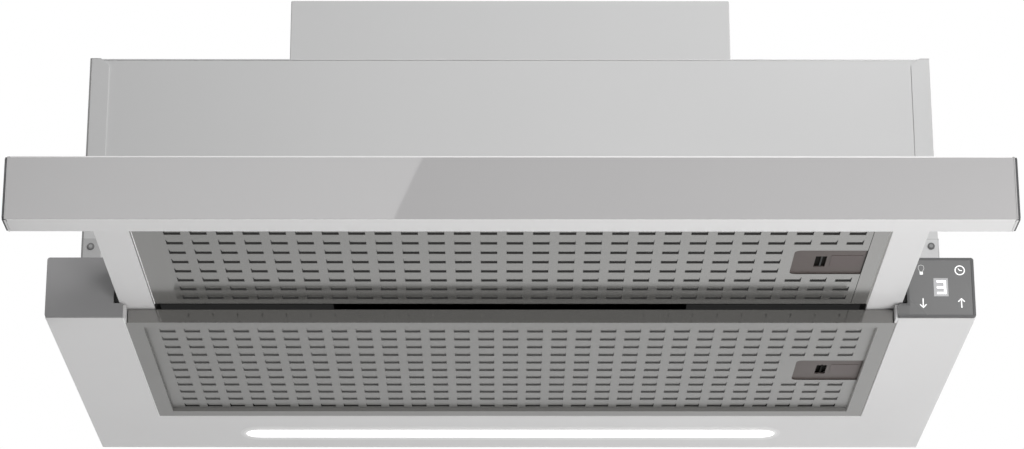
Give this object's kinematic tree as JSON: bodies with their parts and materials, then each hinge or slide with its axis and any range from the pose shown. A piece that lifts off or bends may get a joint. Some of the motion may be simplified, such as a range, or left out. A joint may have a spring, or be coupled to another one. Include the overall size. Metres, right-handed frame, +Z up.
{
  "type": "range hood",
  "caption": "Built-in telescopic cooker hood with a pull-out filter drawer, hinged grease filters, a lamp, touch controls and a fan in a sheet-metal body.",
  "frame": {"origin": "centre of the bounding box at the lower frame's underside, with the drawer pulled out", "axes": "+X along the facia to the right, +Y to the back of the hood, +Z up"},
  "size_m": [0.599, 0.4912, 0.2842],
  "materials": {
    "white_paint": "satin powder coat",
    "body_paint": "satin powder coat",
    "grey_plastic": "fine matte",
    "touch_face": "satin printed face",
    "display_face": "pale translucent window",
    "circuit_board": "solder mask",
    "lamp_lens": "opal diffuser",
    "plated_screw": "zinc plate",
    "black_plastic": "moulded, fine texture",
    "steel": "zinc-plated steel",
    "rubber_black": "matte rubber",
    "can_metal": "drawn can",
    "nylon": "natural nylon",
    "facia_front": "back-painted silver glass front",
    "facia_metal": "satin powder coat",
    "filter_aluminium": "anodised satin",
    "filter_pad": "knitted aluminium mesh",
    "latch_metal": "dark plated"
  },
  "bodies": {
    "housing": {"lower_frame": "white_paint", "left_end_cap": "grey_plastic", "control_housing": "grey_plastic", "touch_panel": "touch_face", "display_module": "display_face", "control_board": "circuit_board", "light_diffuser": "lamp_lens", "led_board": "circuit_board", "right_side_panel": "body_paint", "left_side_panel": "body_paint", "front_panel": "body_paint", "back_panel": "body_paint", "top_panel": "body_paint", "motor_box": "body_paint", "tab_screws": "plated_screw", "outlet_collar": "black_plastic", "flap_pin": "steel", "fan_housing_right": "black_plastic", "fan_housing_left": "black_plastic", "motor_body": "steel", "motor_bushes": "rubber_black", "capacitor": "can_metal", "electronics_box": "black_plastic", "electronics_lid": "black_plastic", "cable_gland": "black_plastic", "right_outer_rail": "steel", "left_outer_rail": "steel", "rail_glides": "nylon", "drawer_switch": "black_plastic"},
    "drawer": {"facia_glass": "facia_front", "facia_profile": "facia_metal", "right_facia_cap": "grey_plastic", "left_facia_cap": "grey_plastic", "right_arm": "white_paint", "left_arm": "white_paint", "drawer_top": "white_paint", "rear_crossbar": "white_paint", "right_inner_rail": "steel", "left_inner_rail": "steel", "drawer_glides": "nylon"},
    "front_filter": {"front_filter_frame": "filter_aluminium", "front_filter_panel": "filter_aluminium", "front_filter_backing": "filter_aluminium", "front_filter_mesh": "filter_pad", "front_latch_spring": "steel"},
    "front_latch": {"front_filter_latch": "latch_metal"},
    "rear_filter": {"rear_filter_frame": "filter_aluminium", "rear_filter_panel": "filter_aluminium", "rear_filter_backing": "filter_aluminium", "rear_filter_mesh": "filter_pad", "rear_latch_spring": "steel"},
    "rear_latch": {"rear_filter_latch": "latch_metal"},
    "fan": {"fan_wheel": "black_plastic", "fan_shaft": "steel"},
    "front_flap": {"front_flap": "black_plastic"},
    "rear_flap": {"rear_flap": "black_plastic"},
    "switch_plunger": {"switch_plunger": "black_plastic"}
  },
  "joints": [
    {"name": "drawer_slide", "type": "slide", "parent": "housing", "child": "drawer", "axis": [0, -1, 0], "range_m": [-0.1585, 0]},
    {"name": "front_filter_drop", "type": "hinge", "parent": "drawer", "child": "front_filter", "pos_m": [-0.2295, -0.1407, 0.0111], "axis": [0, 1, 0], "range_deg": [0, 40]},
    {"name": "front_latch_pull", "type": "slide", "parent": "front_filter", "child": "front_latch", "axis": [1, 0, 0], "range_m": [-0.003, 0.0022], "stiffness_N_per_m": 250},
    {"name": "rear_filter_drop", "type": "hinge", "parent": "housing", "child": "rear_filter", "pos_m": [-0.248, 0.0553, 0], "axis": [0, 1, 0], "range_deg": [0, 40]},
    {"name": "rear_latch_pull", "type": "slide", "parent": "rear_filter", "child": "rear_latch", "axis": [1, 0, 0], "range_m": [-0.003, 0.0022], "stiffness_N_per_m": 250},
    {"name": "fan_spin", "type": "hinge", "parent": "housing", "child": "fan", "pos_m": [0, 0.1071, 0.15], "axis": [1, 0, 0], "continuous": true},
    {"name": "front_flap_lift", "type": "hinge", "parent": "housing", "child": "front_flap", "pos_m": [0, 0.1601, 0.2652], "axis": [-1, 0, 0], "range_deg": [0, 70]},
    {"name": "rear_flap_lift", "type": "hinge", "parent": "housing", "child": "rear_flap", "pos_m": [0, 0.1601, 0.2652], "axis": [1, 0, 0], "range_deg": [0, 70]},
    {"name": "switch_press", "type": "slide", "parent": "housing", "child": "switch_plunger", "axis": [0, 1, 0], "range_m": [0, 0.002], "stiffness_N_per_m": 300, "springref_m": -0.001}
  ]
}
